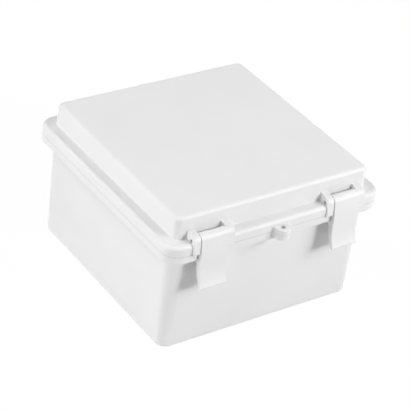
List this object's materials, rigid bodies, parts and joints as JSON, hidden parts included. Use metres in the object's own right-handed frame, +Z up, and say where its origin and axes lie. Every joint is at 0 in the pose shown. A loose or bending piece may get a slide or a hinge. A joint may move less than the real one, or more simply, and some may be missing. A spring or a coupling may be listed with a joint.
{
  "type": "hinged polycarbonate enclosure",
  "caption": "Light-grey moulded wiring enclosure: a square tub with a hinged, gasketed domed lid, hooked front latches and a lock eye.",
  "frame": {"origin": "on the underside, at the middle of the four wall-fixing holes", "axes": "+X to the right seen from the latches, -Y towards the latches, +Z up through the lid"},
  "size_m": [0.15, 0.1643, 0.09],
  "materials": {
    "shell": "satin moulded polycarbonate, very light grey",
    "latch": "satin moulded polycarbonate, very light grey",
    "gasket": "foamed sealing ring",
    "pin": "drawn stainless steel",
    "insert": "turned brass",
    "cap": "moulded polyethylene"
  },
  "bodies": {
    "base": {"base_shell": "shell", "hinge_pin_left": "pin", "hinge_pin_right": "pin", "panel_insert_front_left": "insert", "panel_insert_front_right": "insert", "panel_insert_rear_left": "insert", "panel_insert_rear_right": "insert", "screw_cap_front_left": "cap", "screw_cap_front_right": "cap", "screw_cap_rear_left": "cap", "screw_cap_rear_right": "cap"},
    "lid": {"lid_shell": "shell", "lid_gasket": "gasket", "latch_pin_left": "pin", "latch_pin_right": "pin"},
    "latch_left": {"latch_left": "latch"},
    "latch_right": {"latch_right": "latch"}
  },
  "joints": [
    {"name": "lid_hinge", "type": "hinge", "parent": "base", "child": "lid", "pos_m": [0, 0.0788, 0.0695], "axis": [-1, 0, 0], "range_deg": [0, 180]},
    {"name": "latch_left_pivot", "type": "hinge", "parent": "lid", "child": "latch_left", "pos_m": [-0.0466, -0.0725, 0.0771], "axis": [-1, 0, 0], "range_deg": [0, 150]},
    {"name": "latch_right_pivot", "type": "hinge", "parent": "lid", "child": "latch_right", "pos_m": [0.0466, -0.0725, 0.0771], "axis": [-1, 0, 0], "range_deg": [0, 150]}
  ]
}
